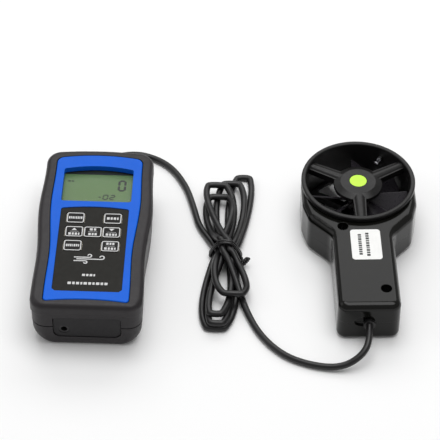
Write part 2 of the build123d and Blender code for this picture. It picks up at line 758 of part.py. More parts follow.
with BuildPart() as pickup:
    with BuildSketch(across_probe(270, DUCT_R + 0.3)):
        with Locations((0, PROBE_PARTING)):
            Circle(2.5)
    extrude(amount=9.0)
write(pickup, "pickup")

with BuildPart() as sensor_board:
    with BuildSketch(probe.offset(7.0)):
        with Locations((0, -61)):
            Rectangle(22, 38)
    extrude(amount=1.6)
    with BuildSketch(probe.offset(2.4)):
        with Locations((-8, -61), (8, -61)):
            Rectangle(3, 30)
    extrude(amount=4.6)
write(sensor_board, "sensor_board")

with BuildPart() as thermistor:
    with BuildSketch(across_probe(THERMISTOR_ANGLE, 28.2)):
        with Locations((0, THERMISTOR_Z)):
            Circle(1.3)
    extrude(amount=DUCT_R + 0.8 - 28.2)
    with BuildSketch(across_probe(THERMISTOR_ANGLE, 28.4)):
        with Locations((-0.7, THERMISTOR_Z), (0.7, THERMISTOR_Z)):
            Circle(0.3)
    extrude(amount=-3.0)
    with BuildSketch(across_probe(THERMISTOR_ANGLE, 24.6)):
        with Locations((0, THERMISTOR_Z)):
            SlotOverall(2.8, 1.2)
    extrude(amount=1.2)
write(thermistor, "thermistor")

with BuildPart() as probe_label:
    with BuildSketch(probe.offset(PROBE_TOP)):
        with Locations((1.1, -50.6)):
            RectangleRounded(17, 24, 2)
    extrude(amount=0.15)
write(probe_label, "probe_label")

with BuildPart() as probe_grommet:
    with BuildSketch(across_probe(270, 95.4)):
        with Locations((0, PROBE_PARTING)):
            Circle(3.6)
    extrude(amount=1.4)
    with BuildSketch(across_probe(270, 96.8)):
        with Locations((0, PROBE_PARTING)):
            Circle(2.7)
    extrude(amount=2.2)
    with BuildSketch(across_probe(270, 99.0)):
        with Locations((0, PROBE_PARTING)):
            Circle(3.3)
    extrude(amount=2.0)
write(probe_grommet, "probe_grommet")

# ================= cord =================


def bend_radii(route):
    """Arc radius at each corner, from the shorter run beside it and the turn."""
    radii = []
    for before, corner, after in zip(route, route[1:], route[2:]):
        coming = Vector(*corner) - Vector(*before)
        going = Vector(*after) - Vector(*corner)
        half_turn = radians(coming.get_angle(going)) / 2
        radii.append(0.45 * min(coming.length, going.length) / tan(half_turn))
    return radii


for cord_name, route in (("cord_run_handset", HANDSET_ROUTE), ("cord_run_probe", PROBE_ROUTE)):
    radii = bend_radii(route)
    print(cord_name, "radii", [round(radius, 1) for radius in radii])
    with BuildPart() as cord_run:
        with BuildLine() as cord_path:
            FilletPolyline(*route, radius=radii)
        with BuildSketch(Plane(origin=cord_path.line @ 0, z_dir=cord_path.line % 0)):
            Circle(CORD_R)
        sweep()
    length = sum(edge.length for edge in cord_path.edges())
    print(cord_name, "length", round(length, 1), "volume share", round(cord_run.part.volume / length / 11.341, 3))
    write(cord_run, cord_name)

with BuildPart() as cord_hank:
    with BuildSketch():
        with BuildLine():
            Polyline((-8.9, 6.5), (-15.5, 24.5), (-16.3, 43.5), (-10.5, 55.5), (5.5, 66.5), (13.2, 66.5), (14.6, 55.5),
                     (11.9, 25.5), (6.5, 6.5), (6.5, -7.5), (13.9, -17.5), (14.1, -28.5), (10.5, -37.5), (6.9, -48.5),
                     (1.9, -56.5), (-6.5, -58.5), (-13.5, -54.5), (-15.5, -42.5), (-9.5, -7.5), (-8.9, 6.5))
        make_face()
    extrude(amount=HANK_HEIGHT)
    fillet(cord_hank.edges().filter_by(Axis.Z), radius=2.5)
    # the tie passes under and round the waist
    with BuildSketch():
        with Locations((-1.4, 1.0)):
            Rectangle(40, 8.4)
    extrude(amount=1.8, mode=Mode.SUBTRACT)
write(cord_hank, "cord_hank")

with BuildPart() as cord_tie:
    with BuildSketch(Plane(origin=(0, 3.6, 0), x_dir=(1, 0, 0), z_dir=(0, -1, 0))):
        with Locations(TIE_CENTRE):
            RectangleRounded(TIE_SIZE[0], TIE_SIZE[1], 3.0)
            RectangleRounded(TIE_SIZE[0] - 3.4, TIE_SIZE[1] - 3.4, 1.4, mode=Mode.SUBTRACT)
    extrude(amount=5.2)
    with BuildSketch(Plane(origin=(7.6, -0.4, 3.4), x_dir=(0, 0, 1), z_dir=(0.7, -0.7, 0.1))):
        Circle(1.7)
    extrude(amount=5.6)
write(cord_tie, "cord_tie")
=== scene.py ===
import bmesh
import bpy
import json
from math import cos, hypot, pi, radians, sin
from mathutils import Matrix, Vector

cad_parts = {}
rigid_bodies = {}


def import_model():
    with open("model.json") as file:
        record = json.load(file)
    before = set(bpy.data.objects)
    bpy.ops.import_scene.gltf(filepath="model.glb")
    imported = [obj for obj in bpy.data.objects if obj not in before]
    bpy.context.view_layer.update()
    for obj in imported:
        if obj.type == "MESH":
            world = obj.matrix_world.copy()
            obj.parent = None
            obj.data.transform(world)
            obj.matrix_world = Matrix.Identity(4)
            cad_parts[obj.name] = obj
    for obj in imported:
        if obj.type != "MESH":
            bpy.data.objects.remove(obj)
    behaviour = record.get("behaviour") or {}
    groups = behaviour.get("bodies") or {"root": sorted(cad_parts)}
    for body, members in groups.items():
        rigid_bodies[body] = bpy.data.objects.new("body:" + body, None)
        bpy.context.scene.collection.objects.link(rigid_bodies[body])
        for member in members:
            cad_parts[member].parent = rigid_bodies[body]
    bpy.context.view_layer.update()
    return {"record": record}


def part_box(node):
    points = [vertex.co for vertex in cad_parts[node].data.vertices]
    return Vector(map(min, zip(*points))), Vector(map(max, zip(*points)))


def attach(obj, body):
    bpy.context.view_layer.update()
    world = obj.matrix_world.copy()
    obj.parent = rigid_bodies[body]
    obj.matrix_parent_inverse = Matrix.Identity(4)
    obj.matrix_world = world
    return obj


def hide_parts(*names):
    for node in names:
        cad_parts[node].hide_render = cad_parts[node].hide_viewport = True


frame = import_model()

# Looks of a vane anemometer. Metres in the CAD model's frame; MM turns the
# millimetres that small details are given in into metres.
MM = 0.001
INSTRUMENT = "instrument"
PROBE_TURN = radians(3.37)
CORD_DIAMETER = 3.8 * MM
HANDSET_HALF_LENGTH = 63.3 * MM


def middle(node):
    """The centre of a node's box."""
    low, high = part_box(node)
    return (low + high) / 2


# The handset's own origin, and the duct's centre, where the sticker sits.
handset_low, handset_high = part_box("front_case")
HANDSET_X = (handset_low.x + handset_high.x) / 2
HANDSET_Y = handset_low.y + HANDSET_HALF_LENGTH
DUCT_CENTRE = middle("hub_sticker")


def on_handset(x, y):
    """A place on the handset, in millimetres from its origin."""
    return HANDSET_X + x * MM, HANDSET_Y + y * MM


def on_probe(x, y):
    """A place on the probe, in millimetres from the duct's centre along its own axes."""
    along, across = y * MM, x * MM
    return (DUCT_CENTRE.x + across * cos(PROBE_TURN) - along * sin(PROBE_TURN),
            DUCT_CENTRE.y + across * sin(PROBE_TURN) + along * cos(PROBE_TURN))


# ================= camera, floor and light =================

CAMERA_TARGET = Vector((-0.0054, 0.0324, 0.0))
CAMERA_DISTANCE = 1.3075
CAMERA_HEADING = radians(-1.418)
CAMERA_PITCH = radians(44.09)
CAMERA_ROLL = radians(0.70)
CAMERA_LENS = 182.47

FLOOR_SIZE = 8
FLOOR_COLOUR = (0.95, 0.95, 0.95)
WORLD_STRENGTH = 0.38
# Each light's name, place, what it points at, its two sides and its power.
LIGHTS = [
    ("overhead", (0.1, 0.1, 1.4), (0, 0, 0), (1.4, 0.8), 12),
    ("back_panel", (0.0, 1.35, 1.25), (0, 0, 0), (1.9, 0.8), 9),
    ("left_panel", (-1.2, 0.1, 0.8), (0, 0, 0), (0.9, 0.9), 2),
]


def add_camera():
    """A camera with a long lens, set by its heading, its dip below level and a slight roll."""
    forward = Vector((
        sin(CAMERA_HEADING) * cos(CAMERA_PITCH), cos(CAMERA_HEADING) * cos(CAMERA_PITCH), -sin(CAMERA_PITCH)))
    level = Vector((cos(CAMERA_HEADING), -sin(CAMERA_HEADING), 0))
    rise = level.cross(forward)
    right = level * cos(CAMERA_ROLL) + rise * sin(CAMERA_ROLL)
    up = rise * cos(CAMERA_ROLL) - level * sin(CAMERA_ROLL)
    data = bpy.data.cameras.new("camera")
    data.lens = CAMERA_LENS
    data.sensor_width = 36
    data.clip_start = 0.05
    camera = bpy.data.objects.new("camera", data)
    bpy.context.scene.collection.objects.link(camera)
    turn = Matrix((right, up, -forward)).transposed().to_4x4()
    camera.matrix_world = Matrix.Translation(CAMERA_TARGET - forward * CAMERA_DISTANCE) @ turn
    bpy.context.scene.camera = camera


def add_light(name, place, aim, size, power):
    """A soft rectangular light."""
    data = bpy.data.lights.new(name, "AREA")
    data.shape = "RECTANGLE"
    data.size, data.size_y = size
    data.energy = power
    light = bpy.data.objects.new(name, data)
    bpy.context.scene.collection.objects.link(light)
    light.location = place
    light.rotation_euler = (Vector(aim) - Vector(place)).to_track_quat("-Z", "Y").to_euler()


def add_stage():
    """The pale floor, the even surrounding light and the soft lights."""
    bpy.ops.mesh.primitive_plane_add(size=FLOOR_SIZE, location=(0, 0, 0))
    floor = bpy.context.object
    floor.name = "floor"
    paper = bpy.data.materials.new("pale_floor")
    paper.use_nodes = True
    shader = paper.node_tree.nodes["Principled BSDF"]
    shader.inputs["Base Color"].default_value = (*FLOOR_COLOUR, 1)
    shader.inputs["Roughness"].default_value = 0.9
    shader.inputs["Specular IOR Level"].default_value = 0.1
    floor.data.materials.append(paper)
    world = bpy.data.worlds.new("studio")
    world.use_nodes = True
    world.node_tree.nodes["Background"].inputs["Color"].default_value = (1, 1, 1, 1)
    world.node_tree.nodes["Background"].inputs["Strength"].default_value = WORLD_STRENGTH
    bpy.context.scene.world = world
    for light in LIGHTS:
        add_light(*light)
    bpy.context.scene.view_settings.view_transform = "Standard"


# ================= cord =================

# Control points of the two free runs, in millimetres: the handset's run comes
# out of its gland, sinks to the table and goes to the hank, and the probe's run
# goes from the hank round to the probe's grommet.
HANDSET_ROUTE = [(-75.6, 64.6, 13), (-75.4, 71.5, 10.0), (-69, 79.8, 5), (-54.5, 85.8, 2.1),
                 (-37.5, 77, 2.0), (-26.5, 59, 2.0), (-21, 40, 2.0), (-17.4, 24.5, 2.0), (-10.4, 12.6, 2.6)]
PROBE_ROUTE = [(0.2, -9, 10.4), (4.0, -19.5, 8.6), (7.6, -29.5, 4.6), (12.0, -43, 2.0), (20.0, -61, 2.0),
               (33.5, -76, 2.0), (50, -82.5, 2.0), (65, -84, 3.0), (75.6, -79.5, 7.4), (80.4, -71.5, 11.2),
               (80.14, -60.9, 13)]

# The hank's waist, where the tie holds nine strands in three rows, (x, z).
WAIST_Y = 1.0
WAIST_REACH = 4.0
WAIST = [(-7.0, 3.7), (4.6, 3.7), (0.7, 3.7), (-3.15, 3.7), (2.7, 7.1), (-1.2, 7.1), (0.8, 10.5), (-5.1, 7.1),
         (-3.1, 10.5)]

# Its eight loops in turn: the tip, how far the outgoing and returning strands
# bow out to either side of it, and the heights of the one, the tip and the other.
LOOPS = [
    {"tip": (-4.8, -56.5), "bow": (-7.9, 7.4), "height": (2.0, 2.0, 2.0)},
    {"tip": (7.8, 67.0), "bow": (5.4, -6.0), "height": (2.0, 2.0, 2.0)},
    {"tip": (-4.4, -56.0), "bow": (5.4, -5.6), "height": (2.2, 5.6, 2.4)},
    {"tip": (0.6, 58.0), "bow": (-7.4, 7.4), "height": (2.2, 5.4, 4.6)},
    {"tip": (-5.2, -50.5), "bow": (5.0, -5.0), "height": (5.0, 7.4, 6.0)},
    {"tip": (-8.4, 53.5), "bow": (9.0, -7.2), "height": (4.6, 8.2, 9.4)},
    {"tip": (3.8, -36.0), "bow": (8.6, -7.6), "height": (6.4, 9.0, 9.6)},
    {"tip": (-6.4, 45.5), "bow": (8.0, -8.2), "height": (9.4, 6.2, 2.6)},
]
# How far the strands have bowed out, as a share of the bow, on the way to the
# tip. They leave the tie level, sink or rise to their own height, and come to
# the tip's height at the end.
BOWING = [(0.12, 0.2), (0.3, 0.54), (0.5, 0.84), (0.7, 1.0), (0.86, 0.96), (0.97, 0.74), (1.0, 0.58)]
OWN_HEIGHT_FROM = 0.35
OWN_HEIGHT_TO = 0.7


def ramp(value, start, end):
    """How far value has come from start to end, from 0 to 1."""
    return min(max((value - start) / (end - start), 0), 1)


def strand(waist, tip, bow, height, tip_height):
    """Control points of one side of a loop, from near the waist to its tip."""
    points = []
    for share, bowed in BOWING:
        x = waist[0] + (tip[0] - waist[0]) * share + bow * bowed
        y = WAIST_Y + (tip[1] - WAIST_Y) * share
        own = waist[1] + (height - waist[1]) * ramp(share, BOWING[0][0], OWN_HEIGHT_FROM)
        points.append((x, y, own + (tip_height - own) * ramp(share, OWN_HEIGHT_TO, 1)))
    return points


def hank_points():
    """Control points of the whole hank: through the waist, round a loop, back through the waist, and so on."""
    points = []
    heading = -1
    for number, loop in enumerate(LOOPS):
        before, after = WAIST[number], WAIST[number + 1]
        points += [(before[0], WAIST_Y - heading * WAIST_REACH, before[1]),
                   (before[0], WAIST_Y + heading * WAIST_REACH, before[1])]
        out_height, tip_height, back_height = loop["height"]
        points += strand(before, loop["tip"], loop["bow"][0], out_height, tip_height)
        points += strand(after, loop["tip"], loop["bow"][1], back_height, tip_height)[::-1]
        heading = -heading
    last = WAIST[-1]
    points += [(last[0], WAIST_Y + WAIST_REACH, last[1]), (last[0], WAIST_Y - WAIST_REACH, last[1])]
    return points


def smooth_curve(name, points, radius, steps=6):
    """A round cord along one open NURBS spline with these control points, in millimetres.

    The points carry the radius, because a curve's box reaches out by it.
    """
    curve = bpy.data.curves.new(name, "CURVE")
    curve.dimensions = "3D"
    curve.bevel_depth = 1
    curve.bevel_resolution = 4
    curve.resolution_u = steps
    curve.use_fill_caps = True
    spline = curve.splines.new("NURBS")
    spline.points.add(len(points) - 1)
    for control, point in zip(spline.points, points):
        control.co = (point[0] * MM, point[1] * MM, point[2] * MM, 1)
        control.radius = radius
    spline.order_u = 3
    spline.use_endpoint_u = True
    piece = bpy.data.objects.new(name, curve)
    bpy.context.scene.collection.objects.link(piece)
    return piece


# The tie's outline round the strands, (x, z), and its twisted end, (x, y, z).
TIE_RADIUS = 0.85
TIE_OUTLINE = [(8.0, 1.7), (7.3, 5.2), (3.7, 11.6), (1.6, 13.5), (-3.5, 13.5), (-5.7, 11.6), (-9.6, 5.2),
               (-10.4, 1.7), (-7.0, 0.95), (4.6, 0.95)]
TIE_TURNS = 2
TIE_PITCH = 1.75
TWIST_LEAD = (8.2, -0.6, 2.0)
TWIST_START = Vector((8.8, -6.2, 2.6))
TWIST_END = Vector((11.9, -4.6, 6.0))
TWIST_TURNS = 1.8
TWIST_STEPS = 20
TWIST_REACH = 0.95 * TIE_RADIUS    # from the pair's middle to each wire's own


def tie_points():
    """Two turns round the strands, side by side."""
    points = []
    steps = len(TIE_OUTLINE)
    for step in range(TIE_TURNS * steps + 1):
        x, z = TIE_OUTLINE[step % steps]
        points.append((x, WAIST_Y + TIE_PITCH * (step / steps - TIE_TURNS / 2), z))
    return points


def twist_points(phase):
    """One of the two ends of the tie, wound round the other."""
    points = [TWIST_LEAD]
    axis = (TWIST_END - TWIST_START).normalized()
    side = axis.cross(Vector((0, 0, 1))).normalized()
    over = side.cross(axis)
    for step in range(TWIST_STEPS + 1):
        share = step / TWIST_STEPS
        angle = phase + 2 * pi * TWIST_TURNS * share
        aside = (side * cos(angle) + over * sin(angle)) * TWIST_REACH
        points.append(tuple(TWIST_START.lerp(TWIST_END, share) + aside))
    return points


def joined(name, pieces):
    """Several curves as one mesh piece."""
    mesh = bmesh.new()
    for piece in pieces:
        bpy.context.view_layer.update()
        solid = bpy.data.meshes.new_from_object(piece.evaluated_get(bpy.context.evaluated_depsgraph_get()))
        mesh.from_mesh(solid)
        bpy.data.meshes.remove(solid)
        bpy.data.objects.remove(piece)
    for face in mesh.faces:
        face.smooth = True
    data = bpy.data.meshes.new(name)
    mesh.to_mesh(data)
    mesh.free()
    whole = bpy.data.objects.new(name, data)
    bpy.context.scene.collection.objects.link(whole)
    return whole


def add_cord():
    """The whole cord as one curve, and the wire tie round its waist."""
    points = HANDSET_ROUTE + hank_points() + PROBE_ROUTE
    cord = smooth_curve("probe_cord", points, CORD_DIAMETER / 2)
    wires = [smooth_curve("tie_turns", tie_points(), TIE_RADIUS * MM, steps=8)]
    for number in range(2):
        wires.append(smooth_curve(f"tie_end_{number}", twist_points(number * pi), TIE_RADIUS * MM))
    tie = joined("cord_tie_wire", wires)
    for piece, slot in ((cord, "cord_black"), (tie, "tie_black")):
        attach(piece, INSTRUMENT)
    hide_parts("cord_run_handset", "cord_run_probe", "cord_hank")
    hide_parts("cord_tie")
    return cord, tie


# ================= materials =================

def linear(red, green, blue):
    """A display colour, each part 0 to 255, as the shader's linear colour."""
    parts = [value / 255 for value in (red, green, blue)]
    return tuple(part / 12.92 if part <= 0.04045 else ((part + 0.055) / 1.055) ** 2.4 for part in parts)


def add_node(tree, kind, settings=(), **inputs):
    """A node with its options set, and its inputs set or linked by name."""
    made = tree.nodes.new(kind)
    for option, value in dict(settings).items():
        setattr(made, option, value)
    for label, value in inputs.items():
        socket = made.inputs[label.replace("_", " ")]
        if isinstance(value, bpy.types.NodeSocket):
            tree.links.new(value, socket)
        else:
            socket.default_value = value
    return made


def noise(tree, place, size, detail=3):
    """Noise whose patches are about size millimetres across."""
    texture = add_node(tree, "ShaderNodeTexNoise", Vector=place, Scale=1 / (size * MM), Detail=detail)
    return texture.outputs["Fac"]


def spread(tree, value, low, high, start=0.3, end=0.7):
    """value from start to end, spread from low to high."""
    levels = add_node(
        tree, "ShaderNodeMapRange", Value=value, From_Min=start, From_Max=end, To_Min=low, To_Max=high)
    return levels.outputs["Result"]


def product(tree, first, second):
    """Two values multiplied."""
    made = tree.nodes.new("ShaderNodeMath")
    made.operation = "MULTIPLY"
    for socket, value in zip(made.inputs, (first, second)):
        if isinstance(value, bpy.types.NodeSocket):
            tree.links.new(value, socket)
        else:
            socket.default_value = value
    return made.outputs[0]


def blended(tree, share, first, second):
    """Two colours mixed, the second one by share."""
    made = tree.nodes.new("ShaderNodeMix")
    made.data_type = "RGBA"
    tree.links.new(share, made.inputs[0])
    for socket, colour in zip((made.inputs[6], made.inputs[7]), (first, second)):
        if isinstance(colour, bpy.types.NodeSocket):
            tree.links.new(colour, socket)
        else:
            socket.default_value = (*colour, 1)
    return made.outputs[2]


def shaded(colour, amount):
    """A colour made lighter, or darker where amount is below 1."""
    return tuple(min(part * amount, 1) for part in colour)


BEVEL_SAMPLES = 6
# How far the rounded normal has turned from the flat one, as its cosine, where
# wear starts and where it is full.
EDGE_TURN = (0.999, 0.86)
WORN_LIGHTER = 2.2    # a rubbed edge against its own colour, unless it has another


def rounded_edges(tree, radius):
    """The normal with edges rounded to a radius in millimetres, and how near an edge is, 0 to 1."""
    bevel = add_node(tree, "ShaderNodeBevel", {"samples": BEVEL_SAMPLES}, Radius=radius * MM)
    flat = tree.nodes.new("ShaderNodeNewGeometry")
    facing = tree.nodes.new("ShaderNodeVectorMath")
    facing.operation = "DOT_PRODUCT"
    tree.links.new(bevel.outputs["Normal"], facing.inputs[0])
    tree.links.new(flat.outputs["Normal"], facing.inputs[1])
    return bevel.outputs["Normal"], spread(tree, facing.outputs["Value"], 0, 1, *EDGE_TURN)


def finish_of(name, colour, roughness, grain=0.3, depth=0.008, mottle=0.12, patch=9, vary=0.06, edge=0.2,
              wear=0.35, worn=None, stretch=(1, 1, 1), **constants):
    """A material with patchy colour, uneven gloss, a fine grain and rubbed edges.

    grain, depth, patch and edge are in millimetres: the grain's width and
    height, the size of the patches and the rounding of the edges. mottle and
    vary are how far colour and roughness stray, and stretch draws the grain
    out along an axis, as brushing and turning do.
    """
    material = bpy.data.materials.new(name)
    material.use_nodes = True
    tree = material.node_tree
    shader = tree.nodes["Principled BSDF"]
    place = add_node(tree, "ShaderNodeTexCoord").outputs["Object"]
    drawn = add_node(tree, "ShaderNodeMapping", Vector=place, Scale=stretch).outputs["Vector"]
    patches = noise(tree, place, patch)
    rubbed = noise(tree, drawn, patch / 5, 4)
    normal, edges = rounded_edges(tree, edge)
    uneven = blended(tree, spread(tree, patches, 0, 1), shaded(colour, 1 - mottle), shaded(colour, 1 + mottle))
    worn_share = product(tree, product(tree, edges, spread(tree, rubbed, 0.2, 1)), wear)
    base = blended(tree, worn_share, uneven, worn or shaded(colour, WORN_LIGHTER))
    tree.links.new(base, shader.inputs["Base Color"])
    tree.links.new(spread(tree, rubbed, roughness - vary, roughness + vary), shader.inputs["Roughness"])
    height = noise(tree, drawn, grain, 2)
    bump = add_node(tree, "ShaderNodeBump", Strength=1.0, Distance=depth * MM, Height=height, Normal=normal)
    tree.links.new(bump.outputs["Normal"], shader.inputs["Normal"])
    for label, value in constants.items():
        shader.inputs[label.replace("_", " ")].default_value = value
    return material


def display_finish():
    """Grey-green reflective display: an even field, with painted light making it a little lighter and warmer low
    down and darker towards the top.
    """
    material = finish_of(
        "display_field", linear(95, 127, 76), 0.38, grain=1.2, depth=0.002, mottle=0.03, patch=20, wear=0)
    tree = material.node_tree
    shader = tree.nodes["Principled BSDF"]
    place = add_node(tree, "ShaderNodeTexCoord").outputs["Object"]
    along = add_node(tree, "ShaderNodeSeparateXYZ", Vector=place).outputs["Y"]
    low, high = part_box("display_panel")
    height = spread(tree, along, 0, 1, low.y, high.y)
    base = shader.inputs["Base Color"].links[0].from_socket
    # Painted light and shade: the field is lighter and warmer low down and darker towards the top.
    painted_light_ramp = blended(tree, height, linear(98, 125, 74), linear(90, 126, 77))
    mixed = tree.nodes.new("ShaderNodeMix")
    mixed.data_type = "RGBA"
    mixed.inputs[0].default_value = 0.5
    tree.links.new(base, mixed.inputs[6])
    tree.links.new(painted_light_ramp, mixed.inputs[7])
    tree.links.new(mixed.outputs[2], shader.inputs["Base Color"])
    return material


# One finish for each of the model's material slots.
FINISHES = {
    "case_black": lambda: finish_of(
        "satin_case", linear(38, 35, 37), 0.42, grain=0.35, depth=0.012, mottle=0.08, edge=0.3, wear=0.25,
        Specular_IOR_Level=0.3),
    "faceplate_blue": lambda: finish_of(
        "blue_plate", linear(4, 94, 211), 0.36, grain=0.5, depth=0.006, mottle=0.05, patch=22, edge=0.25, wear=0.25,
        worn=linear(70, 140, 235), Specular_IOR_Level=0.15),
    "window_clear": lambda: finish_of(
        "clear_window", linear(60, 66, 60), 0.1, grain=4, depth=0.002, mottle=0.03, patch=25, vary=0.04, wear=0,
        Alpha=0.06),
    "display_glass": display_finish,
    "contact_rubber": lambda: finish_of(
        "contact_strip", linear(180, 180, 180), 0.7, grain=0.4, depth=0.02, stretch=(6, 1, 1)),
    "overlay_black": lambda: finish_of(
        "film_black", linear(34, 33, 30), 0.5, grain=0.25, depth=0.01, mottle=0.07, patch=14, edge=0.1, wear=0.4,
        Specular_IOR_Level=0.12),
    "carrier_plastic": lambda: finish_of("pale_film", linear(224, 216, 196), 0.4, mottle=0.05),
    "bright_steel": lambda: finish_of(
        "steel", linear(200, 200, 204), 0.28, grain=0.2, depth=0.003, mottle=0.1, stretch=(1, 8, 1), Metallic=1.0),
    "key_plastic": lambda: finish_of(
        "key_film", linear(32, 31, 30), 0.5, grain=0.25, depth=0.01, mottle=0.08, patch=5, edge=0.25, wear=0.5,
        Specular_IOR_Level=0.12),
    "board_green": lambda: finish_of(
        "solder_mask", linear(20, 92, 48), 0.35, grain=1.4, depth=0.02, mottle=0.25, patch=4,
        worn=linear(150, 130, 70)),
    "chip_black": lambda: finish_of("moulded_chip", linear(30, 29, 30), 0.5, grain=0.2, depth=0.01),
    "battery_skin": lambda: finish_of(
        "battery_wrap", linear(44, 44, 50), 0.3, grain=2, depth=0.01, wear=0.6, worn=linear(170, 170, 175)),
    "panel_black": lambda: finish_of(
        "panel_plastic", linear(27, 25, 27), 0.55, grain=0.4, depth=0.02, mottle=0.1, Specular_IOR_Level=0.35),
    "cord_black": lambda: finish_of(
        "cord_jacket", linear(17, 16, 17), 0.36, grain=0.7, depth=0.02, mottle=0.16, patch=12, vary=0.08, wear=0,
        Specular_IOR_Level=0.45),
    "probe_gloss": lambda: finish_of(
        "glossy_shell", linear(14, 14, 12), 0.14, grain=1.6, depth=0.003, mottle=0.1, patch=16, vary=0.05, edge=0.5,
        wear=0.2, Specular_IOR_Level=0.2, Coat_Weight=0.1, Coat_Roughness=0.05),
    "duct_black": lambda: finish_of(
        "duct_plastic", linear(19, 18, 18), 0.34, grain=0.4, depth=0.008, edge=0.45, wear=0.3,
        Specular_IOR_Level=0.32),
    "bearing_brass": lambda: finish_of(
        "turned_brass", linear(214, 176, 96), 0.26, grain=0.15, depth=0.004, stretch=(1, 1, 8), Metallic=1.0),
    "sticker_green": lambda: finish_of(
        "sticker", linear(200, 255, 70), 0.5, grain=0.3, depth=0.006, mottle=0.06, patch=3, wear=0.5,
        worn=linear(235, 255, 190)),
    "impeller_black": lambda: finish_of(
        "vane_plastic", linear(46, 43, 48), 0.3, grain=0.5, depth=0.004, mottle=0.1, patch=7, edge=0.3, wear=0.4,
        Specular_IOR_Level=0.4),
    "label_white": lambda: finish_of(
        "label_paper", linear(240, 240, 238), 0.55, grain=0.3, depth=0.012, mottle=0.03, patch=6, wear=0.6,
        worn=linear(190, 188, 182)),
    "tie_black": lambda: finish_of(
        "tie_coating", linear(18, 17, 18), 0.26, grain=0.5, depth=0.01, mottle=0.15, patch=4, wear=0),
}


def dress(piece, material):
    """The material in every slot of the piece."""
    if not piece.data.materials:
        piece.data.materials.append(material)
    for slot in piece.material_slots:
        slot.material = material


def dress_parts(finishes):
    """Each part of the frame takes the finish of its own material slot."""
    for part in frame["record"]["subparts"]:
        dress(bpy.data.objects[part["node"]], finishes[part["material_slot"]])


# ================= printing =================

INK = 0.04 * MM    # the print's height over its surface, and its depth in it


def slab(mesh, outline, low, high, place):
    """A thin solid over a closed outline, whose points place turns into metres."""
    bottom = [mesh.verts.new((*place(x, y), low)) for x, y in outline]
    top = [mesh.verts.new((*place(x, y), high)) for x, y in outline]
    mesh.faces.new(bottom[::-1])
    mesh.faces.new(top)
    for number in range(len(outline)):
        after = (number + 1) % len(outline)
        mesh.faces.new((bottom[number], bottom[after], top[after], top[number]))


def band(mesh, outer, inner, low, high, place):
    """A thin solid ring between two outlines of as many points."""
    loops = [[mesh.verts.new((*place(x, y), z)) for x, y in outline]
             for outline, z in ((outer, low), (outer, high), (inner, high), (inner, low))]
    for number in range(len(outer)):
        after = (number + 1) % len(outer)
        for loop, following in zip(loops, loops[1:] + loops[:1]):
            mesh.faces.new((loop[number], loop[after], following[after], following[number]))


def stroke(path, width):
    """The outline of a line of this width along a path."""
    left, right = [], []
    for number, (x, y) in enumerate(path):
        before, after = path[max(number - 1, 0)], path[min(number + 1, len(path) - 1)]
        along_x, along_y = after[0] - before[0], after[1] - before[1]
        length = hypot(along_x, along_y)
        aside_x, aside_y = -along_y / length * width / 2, along_x / length * width / 2
        left.append((x + aside_x, y + aside_y))
        right.append((x - aside_x, y - aside_y))
    return left, right


def line(mesh, path, width, low, high, place):
    """A thin solid line along a path, made of one slab for each of its steps."""
    left, right = stroke(path, width)
    for number in range(len(path) - 1):
        slab(mesh, [left[number], right[number], right[number + 1], left[number + 1]], low, high, place)


def rounded(x, y, width, height, corner, steps=4):
    """A rectangle with round corners, centred at x, y."""
    points = []
    for quarter in range(4):
        start = quarter * pi / 2
        side_x = 1 if quarter in (0, 3) else -1
        side_y = 1 if quarter in (0, 1) else -1
        centre = x + side_x * (width / 2 - corner), y + side_y * (height / 2 - corner)
        for step in range(steps + 1):
            angle = start + step / steps * pi / 2
            points.append((centre[0] + corner * cos(angle), centre[1] + corner * sin(angle)))
    return points


# Widths of the plain blocks that stand for a line of print, one after the
# other, and the gap between them.
BLOCK_WIDTHS = [1.0, 0.75, 0.9, 0.55, 1.0, 0.85, 0.65]
BLOCK_GAP = 0.35
BLOCK_CORNER = 0.15


def block_row(x, y, width, height, count, upright=False):
    """Outlines of a row of plain blocks, centred at x, y, lengthwise where upright."""
    widths = [BLOCK_WIDTHS[number % len(BLOCK_WIDTHS)] for number in range(count)]
    scale = width / (sum(widths) + BLOCK_GAP * (count - 1))
    outlines = []
    start = -width / 2
    for share in widths:
        centre = start + share * scale / 2
        if upright:
            outlines.append(rounded(x, y + centre, height, share * scale, BLOCK_CORNER, 2))
        else:
            outlines.append(rounded(x + centre, y, share * scale, height, BLOCK_CORNER, 2))
        start += (share + BLOCK_GAP) * scale
    return outlines


def triangle(x, y, width, height):
    """An arrowhead centred at x, y, pointing down where the height is negative."""
    return [(x - width / 2, y - height / 2), (x + width / 2, y - height / 2), (x, y + height / 2)]


def printed(name, surface, place, body, material, outlines=(), rings=(), lines=()):
    """One piece of print on a surface: filled outlines, rings, and lines of a given width."""
    mesh = bmesh.new()
    low, high = surface - INK, surface + INK
    for outline in outlines:
        slab(mesh, outline, low, high, place)
    for outer, inner in rings:
        band(mesh, outer, inner, low, high, place)
    for path, width in lines:
        line(mesh, path, width, low, high, place)
    bmesh.ops.recalc_face_normals(mesh, faces=mesh.faces)
    data = bpy.data.meshes.new(name)
    mesh.to_mesh(data)
    mesh.free()
    piece = bpy.data.objects.new(name, data)
    bpy.context.scene.collection.objects.link(piece)
    data.materials.append(material)
    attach(piece, body)
    return piece


# The outline printed on a key: how much smaller it is than the key, its line's
# width and its corner.
KEY_INSET = 0.3
KEY_LINE = 0.6
KEY_CORNER = 1.3
RULE_WIDTH = 0.22
GUST_WIDTH = 0.75


